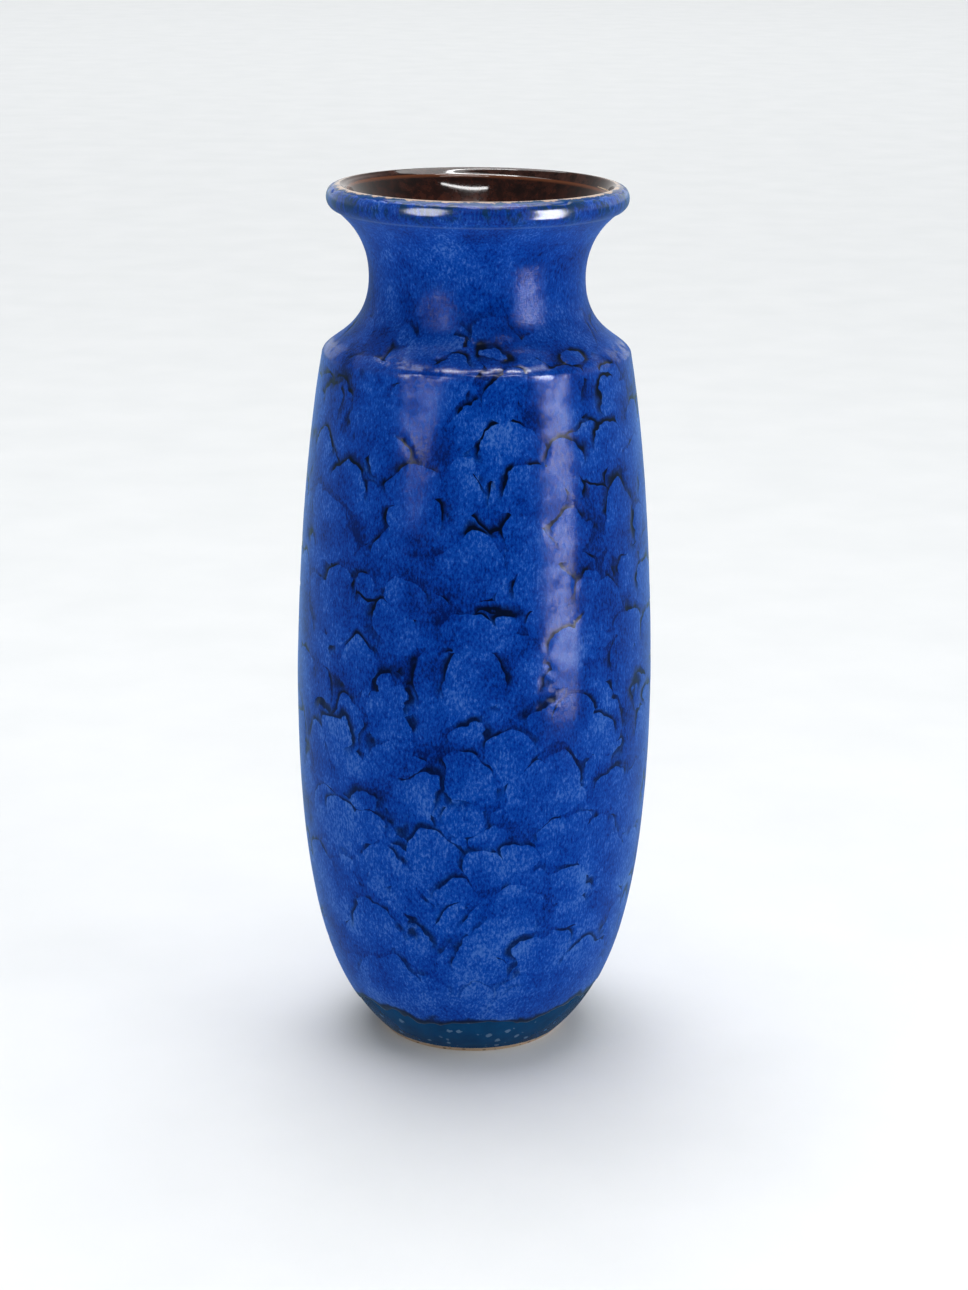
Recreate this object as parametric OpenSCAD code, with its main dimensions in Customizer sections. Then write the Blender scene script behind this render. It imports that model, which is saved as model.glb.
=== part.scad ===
// Stoneware vase: a thrown barrel on a turned foot ring, a crisp shoulder,
// a waisted neck and a rolled lip, glazed inside and out.
// Every wall is a solid of revolution about Z, and Z = 0 is the surface it stands on.

/* [Overall] */
// Height from the foot to the crest of the lip
total_h = 300; // [290:1:310]
// Outer radius of the foot ring where it meets the table
foot_r = 31.7; // [29:0.1:34]

/* [Barrel] */
// Largest radius of the barrel, on the glazed surface
belly_r = 61.4; // [58:0.1:66]
// Height of the largest radius
belly_z = 128; // [120:1:136]
// Radius of the shoulder's edge
shoulder_r = 52.1; // [49:0.1:55]
// Height of the shoulder's edge
shoulder_z = 243.6; // [238:0.1:248]

/* [Neck] */
// Radius of the throat, the narrowest place of the neck
throat_r = 36.2; // [34:0.1:39]
// Height of the throat
throat_z = 269; // [265:0.5:272]

/* [Lip] */
// Radius of the rolled bead's round section
bead_r = 4.2; // [3.6:0.1:4.6]
// Distance of the bead's centre from the axis
bead_x = 46.2; // [44:0.1:49]
// Radius of the sharp inner edge of the mouth
mouth_r = 43.6; // [42:0.1:45]
// Depth of that inner edge below the crest
mouth_drop = 2.6; // [1.5:0.1:3.2]

/* [Clay] */
// Wall thickness of the barrel and neck, with the liner glaze on it
wall = 4.8; // [4:0.1:5.5]
// Height of the inside of the floor
floor_z = 9.5; // [8.5:0.1:12]
// Radius of the recess under the foot, at the table
recess_r = 26.5; // [24:0.1:28]
// Draft of the recess: how much its radius shrinks towards the floor
recess_draft = 1; // [0.5:0.1:1.5]

/* [Glaze] */
// Thickness of the brown liner glaze
liner_t = 0.5; // [0.3:0.05:0.8]
// Thickness of the teal base glaze
base_t = 0.4; // [0.3:0.05:0.6]
// Thickness of the blue glaze over it
top_t = 0.4; // [0.3:0.05:0.6]

/* [Hidden] */
$fn = 96;

// Straight steps that stand for each curve of the outline
steps = 12;
// Step of the foot curve where the foot ring ends and the wall begins
ring_step = 1;
// Part of the first step that is bare clay, and where the blue glaze stops
bare_part = 0.3;
top_glaze_step = 3;
// Angle, below level, at which the neck runs into the bead
bead_from = 75;

// A point on the curve that leaves a towards b and arrives at d from c
function bezier_point(a, b, c, d, t) =
    pow(1 - t, 3) * a + 3 * t * pow(1 - t, 2) * b + 3 * t * t * (1 - t) * c + pow(t, 3) * d;
function bezier(a, b, c, d) = [for (i = [0 : steps]) bezier_point(a, b, c, d, i / steps)];

// The list without its first point, so that two curves join without a double point
function rest(list) = [for (i = [1 : len(list) - 1]) list[i]];
function reversed(list) = [for (i = [len(list) - 1 : -1 : 0]) list[i]];
function span(list, first, last) = [for (i = [first : last]) list[i]];

// Unit vector square to the step from a to b, on its left
function left_of(a, b) = [a[1] - b[1], b[0] - a[0]] / norm(b - a);
// The line moved to its left by d, mitred at each corner
function moved(line, d) = [
    for (i = [0 : len(line) - 1])
        let (before = left_of(line[max(i - 1, 0)], line[max(i, 1)]),
             after = left_of(line[min(i, len(line) - 2)], line[min(i + 1, len(line) - 1)]),
             middle = before + after)
        line[i] + middle * 2 * d / (middle * middle)
];

// Outer outline of the base glaze, from the foot up to the crest of the lip
bead_centre = [bead_x, total_h - bead_r];
function on_bead(angle) = bead_centre + bead_r * [cos(angle), sin(angle)];
belly = [belly_r, belly_z];
shoulder = [shoulder_r, shoulder_z];
throat = [throat_r, throat_z];
under_lip = on_bead(-bead_from);
foot_curve = bezier([foot_r, 0], [foot_r + 16.8, 16], belly - [0, 86], belly);
shoulder_curve = bezier(belly, belly + [0, 7], shoulder + [8.3, -47], shoulder);
collar_curve = bezier(shoulder, shoulder + [-0.9, 4.3], throat - [0, 18.6], throat);
flare_curve = bezier(throat, throat + [0, 13], under_lip - [4.1, 3.2], under_lip);
bead_curve = [for (i = [0 : steps]) on_bead(-bead_from + (90 + bead_from) * i / steps)];
outside = concat(foot_curve, rest(shoulder_curve), rest(collar_curve),
                 rest(flare_curve), rest(bead_curve));
shoulder_step = 2 * steps;
under_lip_step = 4 * steps;
crest_step = 5 * steps;

// Inner outline of the liner glaze, from the crest down to the floor
mouth = [mouth_r, total_h - mouth_drop];
inner_throat = throat - [wall, 0];
inner_shoulder = shoulder - [wall + 0.3, 3.5];
inner_belly = belly - [wall, 0];
floor_edge = [recess_r - recess_draft, floor_z];
inside = concat(
    [outside[crest_step]],
    bezier(mouth, mouth - [3.2, 7.5], inner_throat + [0, 15], inner_throat),
    rest(bezier(inner_throat, inner_throat - [0, 20], inner_shoulder + [-1.8, 4.1], inner_shoulder)),
    rest(bezier(inner_shoulder, inner_shoulder + [8.3, -47], inner_belly + [0, 7], inner_belly)),
    rest(bezier(inner_belly, inner_belly - [0, 78], floor_edge + [15, 0], floor_edge)),
    [[0, floor_z]]);
inner_throat_step = 1 + steps;
inner_shoulder_step = 1 + 2 * steps;
floor_edge_step = 1 + 4 * steps;

// The clay lies under both glazes
clay_outside = moved(outside, base_t);
clay_inside = moved(inside, liner_t);
glaze_inside = moved(outside, -top_t);

// The foot ring's top face, and the seat of the floor in the recess
ring_top = clay_outside[ring_step];
recess_top = [recess_r - recess_draft, ring_top[1]];
clay_floor = [floor_edge[0], clay_inside[floor_edge_step][1]];

// Lowest point of the base glaze, above the bare clay of the foot
glaze_start = outside[0] + bare_part * (outside[1] - outside[0]);
clay_start = clay_outside[0] + bare_part * (clay_outside[1] - clay_outside[0]);
bare_foot = [foot_r - base_t, 0];

module turned(outline) rotate_extrude() polygon(outline);

module foot_ring() color("#b9a58c")
    turned([[recess_r, 0], bare_foot, clay_start, ring_top, recess_top]);

module floor_slab() color("#b9a58c")
    turned([[0, ring_top[1]], recess_top, clay_floor, [0, clay_floor[1]]]);

module barrel_wall() color("#c4b199")
    turned(concat([recess_top],
                  span(clay_outside, ring_step, shoulder_step),
                  span(clay_inside, inner_shoulder_step, floor_edge_step - 1),
                  [clay_floor]));

module neck_collar() color("#c9b8a2")
    turned(concat(span(clay_outside, shoulder_step, under_lip_step),
                  span(clay_inside, 1, inner_shoulder_step)));

module rim_lip() color("#cdbda8")
    turned(concat(span(clay_outside, under_lip_step, crest_step),
                  [clay_inside[1]]));

module liner_glaze() color("#3d170e")
    turned(concat(inside,
                  [[0, clay_floor[1]], clay_floor],
                  reversed(span(clay_inside, 1, floor_edge_step - 1)),
                  [clay_outside[crest_step]]));

module base_glaze() color("#0f3a62")
    turned(concat([glaze_start], span(outside, 1, crest_step),
                  reversed(span(clay_outside, 1, crest_step)), [clay_start]));

module top_glaze() color("#12479a")
    turned(concat(span(glaze_inside, top_glaze_step, under_lip_step),
                  reversed(span(outside, top_glaze_step, under_lip_step))));

foot_ring();
floor_slab();
barrel_wall();
neck_collar();
rim_lip();
liner_glaze();
base_glaze();
top_glaze();
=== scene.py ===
import math
import bpy
from mathutils import Matrix, Vector


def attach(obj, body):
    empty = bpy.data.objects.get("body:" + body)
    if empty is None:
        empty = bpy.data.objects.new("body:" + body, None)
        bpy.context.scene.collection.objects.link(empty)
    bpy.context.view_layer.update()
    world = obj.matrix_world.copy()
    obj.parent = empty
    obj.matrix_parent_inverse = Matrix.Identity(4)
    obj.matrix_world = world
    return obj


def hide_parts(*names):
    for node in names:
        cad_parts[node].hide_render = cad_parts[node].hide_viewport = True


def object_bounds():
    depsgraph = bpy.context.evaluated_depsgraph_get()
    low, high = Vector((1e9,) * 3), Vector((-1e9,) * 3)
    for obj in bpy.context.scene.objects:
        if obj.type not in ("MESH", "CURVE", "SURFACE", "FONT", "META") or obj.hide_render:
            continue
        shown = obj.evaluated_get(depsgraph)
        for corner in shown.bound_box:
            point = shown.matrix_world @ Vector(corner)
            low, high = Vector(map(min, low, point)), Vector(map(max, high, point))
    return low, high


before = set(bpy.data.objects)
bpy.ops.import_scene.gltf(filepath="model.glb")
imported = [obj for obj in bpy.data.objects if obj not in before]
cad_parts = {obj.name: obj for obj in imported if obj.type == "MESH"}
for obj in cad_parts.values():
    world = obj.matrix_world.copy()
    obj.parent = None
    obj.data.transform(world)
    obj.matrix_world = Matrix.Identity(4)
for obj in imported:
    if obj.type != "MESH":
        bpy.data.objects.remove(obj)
cad_low, cad_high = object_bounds()

# The foot ring. A low ring of bare stoneware that the vase stands on, cut with a loop tool while
# the clay was leather-hard, its edges softened with a wet sponge, and wiped clean of glaze.

MM = 0.001
recess_radius = 26.5
recess_draft = 1.0
soft_edge = 0.5
glaze_depth = 0.4


def point(radius, height):
    """A point of an outline, in mm from the axis and above the table."""
    return Vector((radius, 0, height))


foot = point(31.7, 0)
belly = point(61.4, 128)
foot_curve = (foot, foot + point(16.8, 16), belly - point(0, 86), belly)


def line(start, end, steps=1):
    """A straight stretch of an outline, as a curve: start, leave, arrive, end and steps."""
    return start, start.lerp(end, 1 / 3), start.lerp(end, 2 / 3), end, steps


def stretch(curve, t_from, t_to, steps):
    """The stretch of a curve between two shares of its way, which may run backwards."""
    def blossom(*shares):
        row = list(curve[:4])
        for share in shares:
            row = [p.lerp(q, share) for p, q in zip(row, row[1:])]
        return row[0]
    return (blossom(t_from, t_from, t_from), blossom(t_from, t_from, t_to),
            blossom(t_from, t_to, t_to), blossom(t_to, t_to, t_to), steps)


def inset(curve, depth):
    """The same curve moved towards the axis, in mm."""
    return tuple(p - point(depth, 0) for p in curve[:4]) + curve[4:]


def joined(curves):
    """The curves with a straight line wherever one ends away from the next one's start."""
    chain = []
    for curve, following in zip(curves, curves[1:] + curves[:1]):
        chain.append(curve)
        if (curve[3] - following[0]).length > 0.001 and max(curve[3].x, following[0].x) > 0:
            chain.append(line(curve[3], following[0]))
    return chain


def throw(name, curves, around):
    """Turns a closed outline about the vase's axis, as the wheel does, into one closed shell."""
    bpy.ops.object.select_all(action="DESELECT")
    bpy.ops.curve.primitive_bezier_curve_add()
    piece = bpy.context.object
    piece.name = name
    piece.data.splines.clear()
    for start, leave, arrive, end, steps in joined(curves):
        spline = piece.data.splines.new("BEZIER")
        spline.bezier_points.add(1)
        spline.resolution_u = steps
        for knot, place, handle in zip(spline.bezier_points, (start, end), (leave, arrive)):
            knot.handle_left_type = "FREE"
            knot.handle_right_type = "FREE"
            knot.co = place * MM
            knot.handle_left = handle * MM
            knot.handle_right = handle * MM
    bpy.ops.object.convert(target="MESH")
    bpy.ops.object.mode_set(mode="EDIT")
    bpy.ops.mesh.select_all(action="SELECT")
    bpy.ops.mesh.remove_doubles(threshold=0.005 * MM)
    bpy.ops.mesh.select_all(action="SELECT")
    bpy.ops.mesh.spin(steps=around, angle=math.tau, center=(0, 0, 0), axis=(0, 0, 1))
    bpy.ops.mesh.select_all(action="SELECT")
    bpy.ops.mesh.remove_doubles(threshold=0.01 * MM)
    bpy.ops.mesh.select_all(action="SELECT")
    bpy.ops.mesh.normals_make_consistent(inside=False)
    bpy.ops.object.mode_set(mode="OBJECT")
    bpy.ops.object.shade_smooth_by_angle(angle=math.radians(40))
    piece.data.materials.clear()
    return piece


ring_share = 1 / 12
bare_share = 0.036
sponged_share = 0.012
bare_side = stretch(foot_curve, sponged_share, bare_share, 4)
ring_side = inset(stretch(foot_curve, bare_share, ring_share, 6), glaze_depth)
ring_top = ring_side[3].z
ring_inside = point(recess_radius - recess_draft, ring_top)
ring_bottom = bare_side[0].x - soft_edge
outer_edge = (point(ring_bottom, 0), point(ring_bottom + 0.3, 0),
              bare_side[0] - point(0.2, 0.2), bare_side[0], 4)
inner_edge = (point(recess_radius - 0.1, soft_edge), point(recess_radius - 0.05, 0.2),
              point(recess_radius + 0.2, 0), point(recess_radius + soft_edge, 0), 4)
foot_ring = throw("trimmed_foot_ring", [
    inner_edge, line(inner_edge[3], outer_edge[0], 3), outer_edge, bare_side,
    line(bare_side[3], ring_side[0]), ring_side, line(ring_side[3], ring_inside),
    line(ring_inside, inner_edge[0], 4)], around=192)
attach(foot_ring, "root")
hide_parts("foot_ring")


def linear(hex_colour):
    """An sRGB hex colour as the linear red, green, blue and alpha that nodes take."""
    values = [int(hex_colour[i:i + 2], 16) / 255 for i in (1, 3, 5)]
    return [v / 12.92 if v <= 0.04045 else ((v + 0.055) / 1.055) ** 2.4 for v in values] + [1]


def add(tree, kind, *feeds, **named):
    """Adds a node. Feeds go to its open inputs in order, a capitalised name feeds the input of
    that name, and any other name sets an option. A node as a feed means its first output."""
    node = tree.nodes.new(kind)
    for key, value in named.items():
        if key[0].islower():
            setattr(node, key, value)
    sockets = [socket for socket in node.inputs if socket.enabled]
    pairs = list(zip(sockets, feeds))
    for key, value in named.items():
        if key[0].isupper():
            pairs.append((next(s for s in sockets if s.name == key.replace("_", " ")), value))
    for socket, value in pairs:
        if isinstance(value, bpy.types.Node):
            value = next(s for s in value.outputs if s.enabled)
        if isinstance(value, bpy.types.NodeSocket):
            tree.links.new(value, socket)
        elif isinstance(value, str):
            socket.default_value = linear(value)
        elif value is not None:
            socket.default_value = value
    return node


def new_material(name):
    """A material with an empty node tree, its tree, and the place on the vase in mm."""
    material = bpy.data.materials.new(name)
    material.use_nodes = True
    tree = material.node_tree
    tree.nodes.clear()
    place = add(tree, "ShaderNodeTexCoord").outputs["Object"]
    return material, tree, add(tree, "ShaderNodeVectorMath", place, 1 / MM, operation="SCALE")


# Fired stoneware: a matt, sandy clay with darker iron specks. Sand grains are 0.3 to 1 mm.
clay, tree, mm = new_material("fired_stoneware")
sand = add(tree, "ShaderNodeTexNoise", mm, 1 / 1.1, 4.0, 0.6)
iron = add(tree, "ShaderNodeTexVoronoi", mm, 1 / 2.8)
fleck = add(tree, "ShaderNodeMapRange", iron, 0.30, 0.18, 0.0, 0.75, interpolation_type="SMOOTHSTEP")
body = add(tree, "ShaderNodeMix", sand, "#b3967a", "#dcc4a6", data_type="RGBA")
body = add(tree, "ShaderNodeMix", fleck, body, "#6b4a35", data_type="RGBA")
grain = add(tree, "ShaderNodeBump", Strength=0.6, Distance=0.2 * MM, Height=sand)
shader = add(tree, "ShaderNodeBsdfPrincipled", Base_Color=body, Roughness=0.85, IOR=1.5, Normal=grain)
add(tree, "ShaderNodeOutputMaterial", shader)
foot_ring.data.materials.append(clay)

# The floor over the recess. The thick bottom of the pot, pared from below on the wheel, so its
# underside carries fine rings from the trimming tool, and left bare inside the foot ring.

floor_top = 9.0
tool_width = 2.4
tool_depth = 0.25
cuts = 10
floor_rim = ring_inside.x
underside = []
lift = point(0, tool_depth)
for cut in range(cuts):
    near = floor_rim * cut / cuts
    far = floor_rim * (cut + 1) / cuts
    underside.append((point(near, ring_top), point(near + tool_width / 3, ring_top) + lift,
                      point(far - tool_width / 3, ring_top) + lift, point(far, ring_top), 5))
floor_slab = throw("trimmed_floor", underside + [
    line(point(floor_rim, ring_top), point(floor_rim, floor_top)),
    line(point(floor_rim, floor_top), point(0, floor_top), 6)], around=128)
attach(floor_slab, "root")
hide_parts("floor_slab")
floor_slab.data.materials.append(clay)

# The wall, the neck and the lip. One thrown clay wall under the glazes, drawn up from the floor,
# in at the shoulder, and flared and rounded at the lip. No clay shows above the foot ring.

for name in ("barrel_wall", "neck_collar", "rim_lip"):
    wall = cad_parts[name]
    wall.data.materials.clear()
    wall.data.materials.append(clay)

shoulder = point(52.1, 243.6)
throat = point(36.2, 269)
bead_radius = 4.2
bead_middle = point(46.2, cad_high.z / MM - bead_radius)


def bead(start_angle, end_angle, steps):
    """A stretch of the lip's round bead, between two angles above level, in degrees."""
    pull = 4 / 3 * math.tan(math.radians(end_angle - start_angle) / 4) * bead_radius
    ends = []
    for angle in (start_angle, end_angle):
        across = math.cos(math.radians(angle))
        up = math.sin(math.radians(angle))
        ends.append((bead_middle + bead_radius * point(across, up), pull * point(-up, across)))
    (start, leave), (end, arrive) = ends
    return start, start + leave, end - arrive, end, steps


bead_curve = bead(-75, 90, 26)
under_lip = bead_curve[0]
crest = bead_curve[3]
shoulder_curve = (belly, belly + point(0, 7), shoulder + point(8.3, -47), shoulder)
collar_curve = (shoulder, shoulder + point(-0.9, 4.3), throat - point(0, 18.6), throat)
flare_curve = (throat, throat + point(0, 13), under_lip - point(4.1, 3.2), under_lip)

# The liner glaze. A glossy iron-brown glaze, poured in and out of the pot before the outside was
# glazed. It thins to orange-brown on the ridge of the mouth. Just below the ridge its colour holds a
# painted dark reflection, nearly black, and deeper in it is rust-brown again.

mouth = point(43.5, 297.5)
inner_throat = throat - point(4.8, 0)
inner_shoulder = shoulder - point(5.1, 3.5)
inner_belly = belly - point(4.8, 0)
floor_edge = point(25.5, 9.5)
mouth_tilt = 0.022
liner_back = 0.35
bevel_curve = (crest, crest + point(-0.9, -0.1), mouth + point(1.1, 0.9), mouth, 10)
mouth_curve = (mouth, mouth - point(3.2, 7.5), inner_throat + point(0, 15), inner_throat, 30)
inner_collar = (inner_throat, inner_throat - point(0, 20), inner_shoulder + point(-1.8, 4.1),
                inner_shoulder, 18)
inner_wall = (inner_shoulder, inner_shoulder + point(8.3, -47), inner_belly + point(0, 7),
              inner_belly, 26)
inner_foot = (inner_belly, inner_belly - point(0, 78), floor_edge + point(15, 0), floor_edge, 26)
liner_inside = [bevel_curve, mouth_curve, inner_collar, inner_wall, inner_foot,
                line(floor_edge, point(0, floor_edge.z), 6)]
liner_outside = [inset(stretch(curve, 1, 0, 12), -liner_back)
                 for curve in (inner_foot, inner_wall, inner_collar, mouth_curve)]
liner = throw("iron_liner_coat", liner_inside + [
    line(point(0, floor_edge.z), point(0, floor_edge.z - liner_back)),
    line(point(0, floor_edge.z - liner_back), floor_edge - point(0, liner_back), 3)]
    + liner_outside, around=256)


def press(piece, name, build):
    """Moves a piece's points by what build makes of their place, and keeps the new shape."""
    group = bpy.data.node_groups.new(name, "GeometryNodeTree")
    group.interface.new_socket("Geometry", in_out="INPUT", socket_type="NodeSocketGeometry")
    group.interface.new_socket("Geometry", in_out="OUTPUT", socket_type="NodeSocketGeometry")
    start = add(group, "NodeGroupInput")
    mm = add(group, "ShaderNodeVectorMath", add(group, "GeometryNodeInputPosition"), 1 / MM,
             operation="SCALE")
    push = add(group, "ShaderNodeVectorMath", build(group, mm), MM, operation="SCALE")
    moved = add(group, "GeometryNodeSetPosition", start.outputs[0], Offset=push)
    add(group, "NodeGroupOutput", moved)
    piece.modifiers.new(name, "NODES").node_group = group
    bpy.ops.object.select_all(action="DESELECT")
    bpy.context.view_layer.objects.active = piece
    piece.select_set(True)
    bpy.ops.object.modifier_apply(modifier=name)


def mouth_lean(tree, mm):
    """The mouth's ridge was finished by hand and leans a little, about 1 mm down to the right."""
    across, _, height = add(tree, "ShaderNodeSeparateXYZ", mm).outputs
    flat = add(tree, "ShaderNodeVectorMath", mm, (1, 1, 0), operation="MULTIPLY")
    radius = add(tree, "ShaderNodeVectorMath", flat, operation="LENGTH")
    near = add(tree, "ShaderNodeMapRange", height, mouth.z - 13.5, mouth.z - 0.5,
               interpolation_type="SMOOTHSTEP")
    inside = add(tree, "ShaderNodeMapRange", radius, mouth.x + 2.1, mouth.x + 0.4,
                 interpolation_type="SMOOTHSTEP")
    part = add(tree, "ShaderNodeMath", near, inside, operation="MULTIPLY")
    drop = add(tree, "ShaderNodeMath", across, -mouth_tilt, operation="MULTIPLY")
    return add(tree, "ShaderNodeCombineXYZ", 0.0, 0.0,
               add(tree, "ShaderNodeMath", part, drop, operation="MULTIPLY"))


press(liner, "mouth_lean", mouth_lean)
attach(liner, "root")
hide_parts("liner_glaze")

# Iron-brown gloss glaze: dark and mirror-smooth, mottled in patches of 2 to 4 mm, and
# rust-coloured where it is thin.
brown, tree, mm = new_material("iron_gloss_glaze")
across, _, height = add(tree, "ShaderNodeSeparateXYZ", mm).outputs
flat = add(tree, "ShaderNodeVectorMath", mm, (1, 1, 0), operation="MULTIPLY")
radius = add(tree, "ShaderNodeVectorMath", flat, operation="LENGTH")
level = add(tree, "ShaderNodeMath", across, mouth_tilt, height, operation="MULTIPLY_ADD")
patches = add(tree, "ShaderNodeTexNoise", mm, 1 / 3.2, 4.0, 0.65)
mottle = add(tree, "ShaderNodeMapRange", patches, 0.36, 0.68, interpolation_type="SMOOTHSTEP")
# Painted dark reflection: nearly black just below the mouth's ridge, where the dark room is reflected
painted_dark_reflection = add(tree, "ShaderNodeMix", mottle, "#1a0905", "#3c1c12", data_type="RGBA")
thin = add(tree, "ShaderNodeMix", mottle, "#451c11", "#6a3826", data_type="RGBA")
depth = add(tree, "ShaderNodeMapRange", level, mouth.z - 13.5, mouth.z - 4.5,
            interpolation_type="SMOOTHSTEP")
inner = add(tree, "ShaderNodeMix", depth, thin, painted_dark_reflection, data_type="RGBA")
violet = add(tree, "ShaderNodeMix", mottle, "#22100a", "#482c24", data_type="RGBA")
bevel = add(tree, "ShaderNodeMapRange", radius, mouth.x, mouth.x + 0.6,
            interpolation_type="SMOOTHSTEP")
top_only = add(tree, "ShaderNodeMapRange", level, mouth.z - 2, mouth.z - 1,
               interpolation_type="SMOOTHSTEP")
bevel = add(tree, "ShaderNodeMath", bevel, top_only, operation="MULTIPLY")
inner = add(tree, "ShaderNodeMix", bevel, inner, violet, data_type="RGBA")
from_ridge = add(tree, "ShaderNodeMath", radius, mouth.x, operation="SUBTRACT")
from_ridge = add(tree, "ShaderNodeMath", from_ridge, operation="ABSOLUTE")
ridge = add(tree, "ShaderNodeMapRange", from_ridge, 0.5, 0.05, interpolation_type="SMOOTHSTEP")
ridge = add(tree, "ShaderNodeMath", ridge, top_only, operation="MULTIPLY")
inner = add(tree, "ShaderNodeMix", ridge, inner, "#6f3f26", data_type="RGBA")
shader = add(tree, "ShaderNodeBsdfPrincipled", Base_Color=inner, Roughness=0.07, IOR=1.52)
add(tree, "ShaderNodeOutputMaterial", shader)
liner.data.materials.append(brown)

# The base glaze. A glossy teal glaze, dipped over the whole outside down to a clay line just
# above the foot. It shows as a band at the foot and on the lip, where it breaks tan on the crest.

glaze_line = bare_share - 0.002
coat_back = 0.33
base = throw("teal_base_coat", [
    stretch(foot_curve, glaze_line, 0.36, 40), stretch(foot_curve, 0.36, 1, 14),
    shoulder_curve + (14,), collar_curve + (14,), flare_curve + (22,), bead_curve,
    line(crest, crest - point(0.2, coat_back)),
    line(crest - point(0.2, coat_back), under_lip - point(coat_back, 0), 4)]
    + [inset(stretch(curve, 1, 0, 12), coat_back) for curve in (flare_curve, collar_curve, shoulder_curve)]
    + [inset(stretch(foot_curve, 1, glaze_line, 14), coat_back)], around=256)
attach(base, "root")
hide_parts("base_glaze")

# Teal gloss: clear and wet-looking, with ragged pale specks of unmelted glaze to 2.5 mm across.
teal, tree, mm = new_material("teal_gloss_glaze")
height = add(tree, "ShaderNodeSeparateXYZ", mm).outputs[2]
drift = add(tree, "ShaderNodeTexNoise", mm, 1 / 7, 4.0, 0.6)
band = add(tree, "ShaderNodeMix", drift, "#003258", "#08548a", data_type="RGBA")
ragged = add(tree, "ShaderNodeTexNoise", mm, 1 / 1.5, 2.0).outputs["Color"]
ragged = add(tree, "ShaderNodeVectorMath", ragged, (1.6, 1.6, 1.6), mm, operation="MULTIPLY_ADD")
pip = add(tree, "ShaderNodeTexVoronoi", ragged, 1 / 3.4)
pip_size = add(tree, "ShaderNodeSeparateXYZ", pip.outputs["Color"]).outputs[0]
pip_size = add(tree, "ShaderNodeMapRange", pip_size, 0.3, 1.0, 0.0, 0.4)
pip_edge = add(tree, "ShaderNodeMath", pip_size, pip.outputs["Distance"], operation="SUBTRACT")
pip_here = add(tree, "ShaderNodeMapRange", pip_edge, 0.0, 0.12, 0.0, 0.7)
band = add(tree, "ShaderNodeMix", pip_here, band, "#6f93b4", data_type="RGBA")
runny = add(tree, "ShaderNodeVectorMath", mm, (1.0, 1.0, 0.45), operation="MULTIPLY")
flecks = add(tree, "ShaderNodeTexNoise", runny, 1 / 2.6, 4.0, 0.65)
lip_tone = add(tree, "ShaderNodeMapRange", flecks, 0.35, 0.68)
lip_tone = add(tree, "ShaderNodeMix", lip_tone, "#04308a", "#2f62bd", data_type="RGBA")
dip = add(tree, "ShaderNodeMath", flecks, 3.2, height, operation="MULTIPLY_ADD")
dip = add(tree, "ShaderNodeMapRange", dip, crest.z + 0.2, crest.z + 1.6)
lip_tone = add(tree, "ShaderNodeMix", dip, lip_tone, "#0a4468", data_type="RGBA")
upper = add(tree, "ShaderNodeMapRange", height, throat.z - 19, throat.z + 11)
skin = add(tree, "ShaderNodeMix", upper, band, lip_tone, data_type="RGBA")
wear = add(tree, "ShaderNodeTexNoise", mm, 1 / 3.5, 4.0, 0.65)
wear = add(tree, "ShaderNodeMath", wear, 1.6, height, operation="MULTIPLY_ADD")
broken = add(tree, "ShaderNodeMapRange", wear, crest.z + 0.56, crest.z + 0.72)
skin = add(tree, "ShaderNodeMix", broken, skin, "#c4ab97", data_type="RGBA")
shader = add(tree, "ShaderNodeBsdfPrincipled", Base_Color=skin, Roughness=0.09, IOR=1.5,
             Specular_IOR_Level=0.3)
add(tree, "ShaderNodeOutputMaterial", shader)
base.data.materials.append(teal)

# The blue glaze. A thick cobalt glaze laid over the teal one, which drew together in the kiln
# into overlapping lobes 15 to 25 mm wide. The coat is thinnest in the seams between them, where
# the dark glaze under it shows through, and it ends in a wavy edge above the foot.

blue_thick = 0.36
blue_sunk = -0.25
seam_deep = 0.26
blue_swell = 0.07
# Each layer of lobes: its offset, the spacing of its lobes and their radius
lobe_layers = ((0.0, 24.0, 13.5), (70.0, 21.0, 11.5), (140.0, 18.0, 9.0))
# What bends the lobes out of round: the size of each wander and how far it reaches
wanders = ((30.0, 22.0), (7.0, 4.5))


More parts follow.
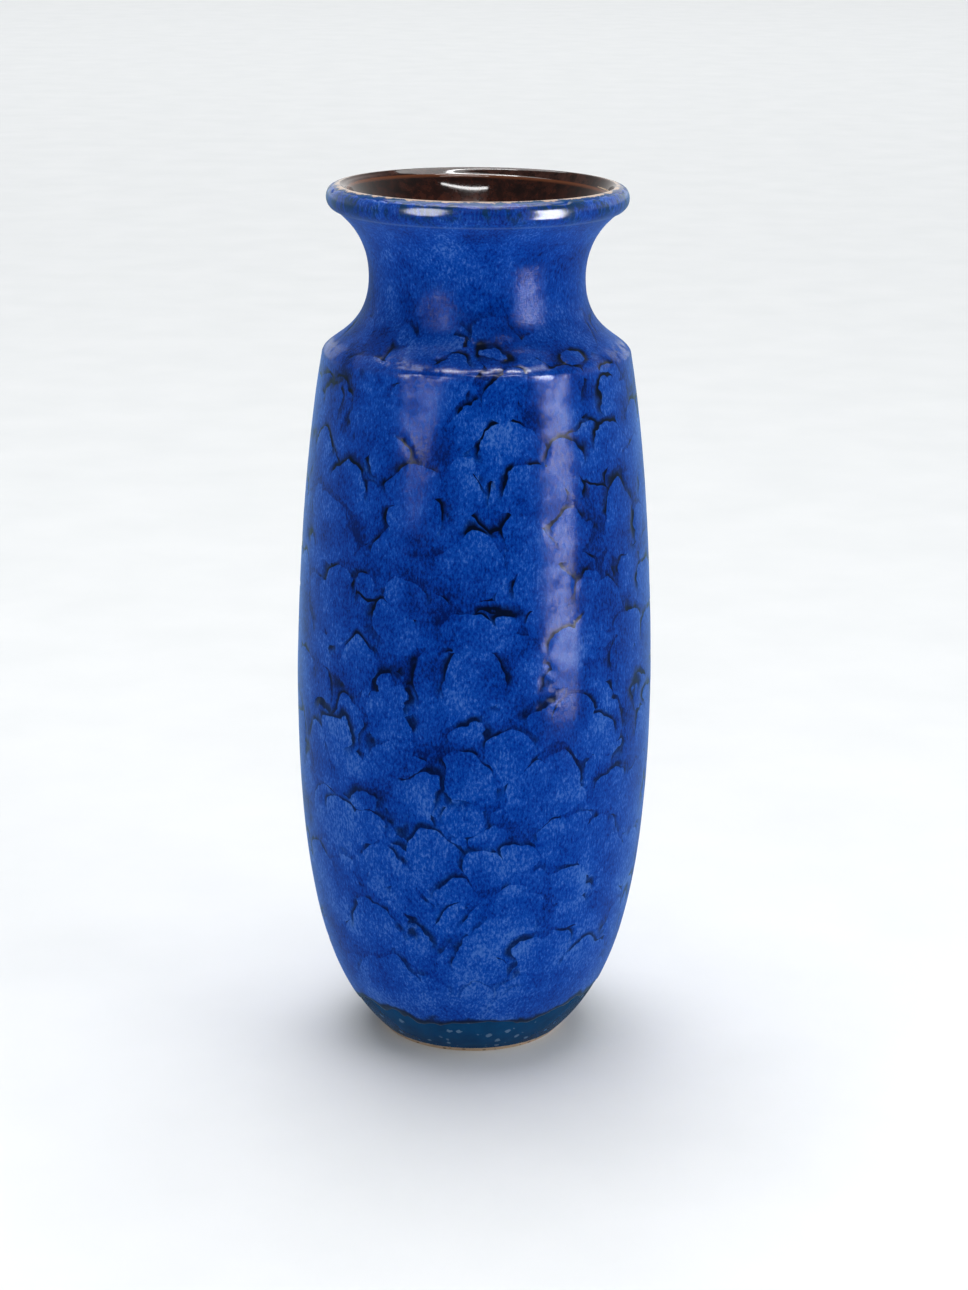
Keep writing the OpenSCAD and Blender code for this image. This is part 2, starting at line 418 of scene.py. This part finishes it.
def crawled(tree, mm):
    """The crawled glaze at a place: its black seams, the soft shade over each lobe, the light on
    each lobe's crown, the height above the coat's lower edge and the height above the table."""
    ease = {"interpolation_type": "SMOOTHSTEP"}
    bent = mm
    for size, reach in wanders:
        bend = add(tree, "ShaderNodeTexNoise", mm, 1 / size, 2.0).outputs["Color"]
        bend = add(tree, "ShaderNodeVectorMath", bend, (0.5, 0.5, 0.5), operation="SUBTRACT")
        bent = add(tree, "ShaderNodeVectorMath", bend, (reach, reach, reach), bent,
                   operation="MULTIPLY_ADD")
    seam = shade = crown = 0.0
    for offset, spacing, radius in lobe_layers:
        here = add(tree, "ShaderNodeVectorMath", bent, (offset, offset, offset))
        lobe = add(tree, "ShaderNodeTexVoronoi", here, 1 / spacing)
        size = add(tree, "ShaderNodeSeparateXYZ", lobe.outputs["Color"]).outputs[0]
        size = add(tree, "ShaderNodeMapRange", size, 0.0, 1.0, 0.8 * radius, 1.15 * radius)
        beyond = add(tree, "ShaderNodeMath", lobe, spacing, operation="MULTIPLY")
        beyond = add(tree, "ShaderNodeMath", beyond, size, operation="SUBTRACT")
        away = add(tree, "ShaderNodeVectorMath", here, lobe.outputs["Position"], operation="SUBTRACT")
        away = add(tree, "ShaderNodeVectorMath", away, operation="NORMALIZE")
        rise = add(tree, "ShaderNodeSeparateXYZ", away).outputs[2]
        over = add(tree, "ShaderNodeMapRange", rise, -0.45, 0.35, **ease)
        bare = add(tree, "ShaderNodeMapRange", beyond, -0.2, 0.1, **ease)
        layers = []
        for before, reach, strength in ((seam, 2.4, 1.25), (shade, 6.5, 1.0)):
            new = add(tree, "ShaderNodeMapRange", beyond, reach, 0.0, 0.0, strength, **ease)
            new = add(tree, "ShaderNodeMath", new, over, operation="MULTIPLY")
            new = add(tree, "ShaderNodeMath", new, before, operation="MAXIMUM")
            layers.append(add(tree, "ShaderNodeMath", new, bare, operation="MULTIPLY"))
        seam, shade = layers
        lit = add(tree, "ShaderNodeMapRange", beyond, -6.0, -0.5, 0.0, 1.0, **ease)
        lit = add(tree, "ShaderNodeMath", lit, over, operation="MULTIPLY")
        crown = add(tree, "ShaderNodeMix", bare, lit, crown)
    patch = add(tree, "ShaderNodeTexNoise", mm, 1 / 17, 3.0, 0.6)
    patch = add(tree, "ShaderNodeMapRange", patch, 0.44, 0.55, **ease)
    seam = add(tree, "ShaderNodeMath", seam, patch, operation="MULTIPLY", use_clamp=True)
    right, _, height = add(tree, "ShaderNodeSeparateXYZ", mm).outputs
    quiet = add(tree, "ShaderNodeMapRange", height, 26.0, 46.0, 0.1, 1.0, **ease)
    neck = add(tree, "ShaderNodeMapRange", height, throat.z - 5, throat.z - 17, 0.06, 1.0, **ease)
    quiet = add(tree, "ShaderNodeMath", quiet, neck, operation="MULTIPLY")
    soft = add(tree, "ShaderNodeMapRange", height, 80.0, 190.0, 0.78, 1.0, **ease)
    quiet = add(tree, "ShaderNodeMath", quiet, soft, operation="MULTIPLY")
    seam = add(tree, "ShaderNodeMath", seam, quiet, operation="MULTIPLY")
    shade = add(tree, "ShaderNodeMath", shade, quiet, operation="MULTIPLY")
    wave = add(tree, "ShaderNodeTexNoise", mm, 1 / 12, 3.0)
    climb = add(tree, "ShaderNodeMapRange", right, 20.0, 42.0, 9.4, 12.8, **ease)
    edge = add(tree, "ShaderNodeMath", wave, 11.0, climb, operation="MULTIPLY_ADD")
    above = add(tree, "ShaderNodeMath", height, edge, operation="SUBTRACT")
    return seam, shade, crown, above, height


def crawled_relief(tree, mm):
    """How far the blue coat's outer face stands out from the teal one, with its edges drawn in."""
    seam, _, _, above, height = crawled(tree, mm)
    normal = add(tree, "GeometryNodeInputNormal")
    outward = add(tree, "ShaderNodeVectorMath", mm, (1, 1, 0), operation="MULTIPLY")
    outward = add(tree, "ShaderNodeVectorMath", outward, normal, operation="DOT_PRODUCT")
    outward = add(tree, "ShaderNodeMath", outward, 0.0, operation="GREATER_THAN")
    thick = add(tree, "ShaderNodeMath", seam, -seam_deep, blue_thick, operation="MULTIPLY_ADD")
    swell = add(tree, "ShaderNodeTexNoise", mm, 1 / 14, 2.0)
    swell = add(tree, "ShaderNodeMapRange", swell, 0.3, 0.7, 0.0, -blue_swell)
    thick = add(tree, "ShaderNodeMath", thick, swell, operation="ADD")
    bottom = add(tree, "ShaderNodeMapRange", above, 0.0, 1.6, interpolation_type="SMOOTHSTEP")
    drips = add(tree, "ShaderNodeTexNoise", mm, 1 / 5, 3.0, 0.6)
    drips = add(tree, "ShaderNodeMath", drips, 4.5, height, operation="MULTIPLY_ADD")
    top = add(tree, "ShaderNodeMapRange", drips, crest.z + 1.9, crest.z + 1.1,
              interpolation_type="SMOOTHSTEP")
    taper = add(tree, "ShaderNodeMapRange", height, crest.z - 0.15, crest.z - 1.5)
    thick = add(tree, "ShaderNodeMath", thick, taper, operation="MULTIPLY")
    inside = add(tree, "ShaderNodeMath", bottom, top, operation="MULTIPLY")
    thick = add(tree, "ShaderNodeMix", inside, blue_sunk, thick)
    thick = add(tree, "ShaderNodeMath", thick, outward, operation="MULTIPLY")
    return add(tree, "ShaderNodeVectorMath", normal, thick, operation="SCALE")


blue_start = 0.20
blue_back = 0.30
blue_bead = bead(-75, 84, 22)
top_coat = throw("cobalt_crawled_coat", [
    stretch(foot_curve, blue_start, 1, 96), shoulder_curve + (92,), collar_curve + (26,),
    flare_curve + (26,), blue_bead, line(blue_bead[3], under_lip - point(0.5, 0), 3)]
    + [inset(stretch(curve, 1, 0, 8), blue_back) for curve in (flare_curve, collar_curve, shoulder_curve)]
    + [inset(stretch(foot_curve, 1, blue_start, 10), blue_back)], around=330)
press(top_coat, "crawled_relief", crawled_relief)
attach(top_coat, "root")
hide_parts("top_glaze")

# Cobalt satin glaze: a saturated blue with a soft sheen, flecked by pale crystals drawn out
# downwards, 0.4 to 0.8 mm across, and close to black in the seams. It is patchy in gloss, glossier
# on the shoulder's edge and the lip, where it ran thin, and drier on the neck.
blue, tree, mm = new_material("cobalt_satin_glaze")
seam, shade, crown, above, height = crawled(tree, mm)
runny = add(tree, "ShaderNodeVectorMath", mm, (1.0, 1.0, 0.5), operation="MULTIPLY")
crystals = add(tree, "ShaderNodeTexNoise", runny, 1 / 0.75, 3.0, 0.7)
clouds = add(tree, "ShaderNodeTexNoise", mm, 1 / 16, 3.0, 0.55)
lower = add(tree, "ShaderNodeMapRange", height, belly.z + 32, belly.z - 68, 0.0, 0.10,
            interpolation_type="SMOOTHSTEP")
amount = add(tree, "ShaderNodeMath", crystals, 1.35, clouds, operation="MULTIPLY_ADD")
amount = add(tree, "ShaderNodeMath", amount, lower, operation="ADD")
amount = add(tree, "ShaderNodeMath", crown, 0.07, amount, operation="MULTIPLY_ADD")
amount = add(tree, "ShaderNodeMath", shade, -0.19, amount, operation="MULTIPLY_ADD")
amount = add(tree, "ShaderNodeMapRange", amount, 0.82, 1.62)
tone = add(tree, "ShaderNodeValToRGB", amount)
tone.color_ramp.elements[0].color = linear("#001a60")
tone.color_ramp.elements[1].color = linear("#4676ca")
tone.color_ramp.elements.new(0.30).color = linear("#003394")
tone.color_ramp.elements.new(0.62).color = linear("#084bb4")
thin_lip = add(tree, "ShaderNodeTexNoise", runny, 1 / 5.5, 5.0, 0.72)
thin_lip = add(tree, "ShaderNodeMapRange", thin_lip, 0.46, 0.57, interpolation_type="SMOOTHSTEP")
near_lip = add(tree, "ShaderNodeMapRange", height, crest.z - 9.5, crest.z - 4, 0.0, 0.95)
thin_lip = add(tree, "ShaderNodeMath", thin_lip, near_lip, operation="MULTIPLY")
tone = add(tree, "ShaderNodeMix", thin_lip, tone, "#04345c", data_type="RGBA")
line_dark = add(tree, "ShaderNodeMapRange", above, 3.6, 2.0, 0.0, 0.95, interpolation_type="SMOOTHSTEP")
seam = add(tree, "ShaderNodeMath", seam, line_dark, operation="MAXIMUM")
tone = add(tree, "ShaderNodeMix", seam, tone, "#010a24", data_type="RGBA")
gloss = add(tree, "ShaderNodeMapRange", crystals, 0.38, 0.62, 0.16, 0.06)
pools = add(tree, "ShaderNodeTexNoise", mm, 1 / 8, 3.0, 0.6)
uneven = add(tree, "ShaderNodeMapRange", pools, 0.38, 0.60, 0.35, 1.15, interpolation_type="SMOOTHSTEP")
gloss = add(tree, "ShaderNodeMath", gloss, uneven, operation="MULTIPLY")
over_edge = add(tree, "ShaderNodeMapRange", height, shoulder.z - 1.2, shoulder.z + 0.8)
past_edge = add(tree, "ShaderNodeMapRange", height, shoulder.z + 5.5, shoulder.z + 3.5)
edge_gloss = add(tree, "ShaderNodeMath", over_edge, past_edge, operation="MULTIPLY")
edge_parts = add(tree, "ShaderNodeMapRange", pools, 0.42, 0.54, 0.0, 0.8, interpolation_type="SMOOTHSTEP")
edge_gloss = add(tree, "ShaderNodeMath", edge_gloss, edge_parts, operation="MULTIPLY")
gloss = add(tree, "ShaderNodeMath", gloss, edge_gloss, operation="MAXIMUM")
lip_gloss = add(tree, "ShaderNodeMapRange", height, under_lip.z - 1.0, under_lip.z + 1.5, 0.0, 0.8)
gloss = add(tree, "ShaderNodeMath", gloss, lip_gloss, operation="MAXIMUM")
drier_neck = add(tree, "ShaderNodeMapRange", height, shoulder.z + 5, shoulder.z + 13, 1.0, 3.2)
wet_lip = add(tree, "ShaderNodeMapRange", height, 280.0, under_lip.z, 1.0, 0.3)
drier_neck = add(tree, "ShaderNodeMath", drier_neck, wet_lip, operation="MULTIPLY")
grain = add(tree, "ShaderNodeMath", crystals, drier_neck, operation="MULTIPLY")
ripple = add(tree, "ShaderNodeBump", Strength=0.5, Distance=0.05 * MM, Height=grain)
shader = add(tree, "ShaderNodeBsdfPrincipled", Base_Color=tone, Roughness=0.5, IOR=1.5, Normal=ripple,
             Specular_IOR_Level=0.0, Coat_Weight=gloss, Coat_Roughness=0.15, Coat_Normal=ripple,
             Sheen_Weight=0.46, Sheen_Roughness=0.4, Sheen_Tint=linear("#b2d8ea"))
add(tree, "ShaderNodeOutputMaterial", shader)
top_coat.data.materials.append(blue)

# The studio. A long lens about a metre away looks a little down at the vase, which stands on a
# wide sheet of white paper. Two tall windows and two long lamps make the highlights and light
# nothing else. The fills, the ceiling and a broad sky make the light and the soft shadow.

camera_place = Vector((0, -0.9600, 0.4193))
camera_pitch = math.radians(16.24)
camera_yaw = math.radians(0.20)
camera_roll = math.radians(0.49)
bpy.ops.object.select_all(action="DESELECT")
bpy.ops.object.camera_add()
camera = bpy.context.object
camera.name = "camera"
turn = Matrix.Rotation(-camera_yaw, 4, "Z") @ Matrix.Rotation(math.pi / 2 - camera_pitch, 4, "X")
camera.matrix_world = Matrix.Translation(camera_place) @ turn @ Matrix.Rotation(camera_roll, 4, "Z")
camera.data.lens = 79.87
camera.data.sensor_width = 36
camera.data.clip_start = 0.01
bpy.context.scene.camera = camera
bpy.context.scene.view_settings.view_transform = "Standard"

bpy.ops.mesh.primitive_circle_add(vertices=64, radius=14, fill_type="NGON")
table = bpy.context.object
table.name = "paper_table"
table.visible_glossy = False
# White paper: matt and nearly even, with faint clouds of painted shade where it isn't quite flat.
paper, tree, mm = new_material("white_paper")
paper_wave_shade = add(tree, "ShaderNodeTexNoise", mm, 1 / 60, 3.0)
shade = add(tree, "ShaderNodeMix", paper_wave_shade, "#dee1e2", "#e8eaeb", data_type="RGBA")
shader = add(tree, "ShaderNodeBsdfPrincipled", Base_Color=shade, Roughness=0.9)
add(tree, "ShaderNodeOutputMaterial", shader)
table.data.materials.append(paper)


def soft_box(name, azimuth, distance, width, bottom, top, radiance, shape="RECTANGLE"):
    """A tall window, seen only in reflections. Its azimuth runs to the right from the camera's
    side, in degrees, and its other sizes are metres."""
    swing = math.radians(azimuth)
    spot = (distance * math.sin(swing), -distance * math.cos(swing), (bottom + top) / 2)
    bpy.ops.object.light_add(type="AREA", location=spot, rotation=(math.pi / 2, 0, swing))
    light = bpy.context.object
    light.name = name
    light.visible_diffuse = False
    light.data.shape = shape
    light.data.size = width
    light.data.size_y = top - bottom
    light.data.energy = radiance * math.pi * width * (top - bottom)


soft_box("right_window", azimuth=54, distance=0.42, width=0.15, bottom=0.031, top=0.49, radiance=31.0)
soft_box("left_window", azimuth=-39, distance=0.60, width=0.33, bottom=0.18, top=0.82, radiance=12.0,
         shape="ELLIPSE")


def lamp(name, spot, radiance, lean=0, swing=0, width=1.0, depth=1.0):
    """A lamp or a fill. It leans from straight down, then swings about the vertical, in degrees."""
    bpy.ops.object.light_add(type="AREA", location=spot,
                             rotation=(math.radians(lean), 0, math.radians(swing)))
    light = bpy.context.object
    light.name = name
    light.data.shape = "RECTANGLE"
    light.data.size = width
    light.data.size_y = depth
    light.data.energy = radiance * math.pi * width * depth
    return light


lamp("ceiling_light", (-0.15, 0.4, 1.5), 3.2, width=0.5, depth=0.5).visible_glossy = False
lamp("front_lamp", (0.27, -0.62, 1.43), 24.0, lean=28, width=0.8, depth=0.045).visible_diffuse = False
lamp("top_lamp", (0.05, -0.06, 1.5), 26.0, width=0.9, depth=0.07).visible_diffuse = False
lamp("front_fill", (0, -1.6, 1.2), 1.7, lean=55).visible_glossy = False
lamp("right_fill", (1.3, -0.5, 0.9), 1.4, lean=66, swing=69).visible_glossy = False
lamp("left_fill", (-1.3, -0.5, 0.9), 0.7, lean=66, swing=-69).visible_glossy = False
lamp("backdrop_light", (0, 4.2, 3.0), 0.42, width=4.0, depth=4.0).visible_glossy = False
bpy.ops.object.light_add(type="SUN", rotation=(math.radians(-15), math.radians(-2), 0))
sky = bpy.context.object
sky.name = "sky_light"
sky.data.energy = 2.44
sky.data.angle = math.radians(58)

world = bpy.data.worlds.new("room")
bpy.context.scene.world = world
world.use_nodes = True
tree = world.node_tree
tree.nodes.clear()
way = add(tree, "ShaderNodeTexCoord").outputs["Generated"]
up = add(tree, "ShaderNodeSeparateXYZ", way).outputs[2]
toward_light = add(tree, "ShaderNodeVectorMath", way, (0.35, 0.85, 0.0), operation="DOT_PRODUCT")
ahead = add(tree, "ShaderNodeMapRange", toward_light, -0.6, 0.8)
room = add(tree, "ShaderNodeMix", ahead, "#26282a", "#f5f4f3", data_type="RGBA")
overhead = add(tree, "ShaderNodeMapRange", up, 0.25, 0.75)
room = add(tree, "ShaderNodeMix", overhead, room, "#5c5e62", data_type="RGBA")
upward = add(tree, "ShaderNodeMapRange", up, -0.05, 0.05)
room = add(tree, "ShaderNodeMix", upward, "#4a5058", room, data_type="RGBA")
add(tree, "ShaderNodeOutputWorld", add(tree, "ShaderNodeBackground", room, 1.0))
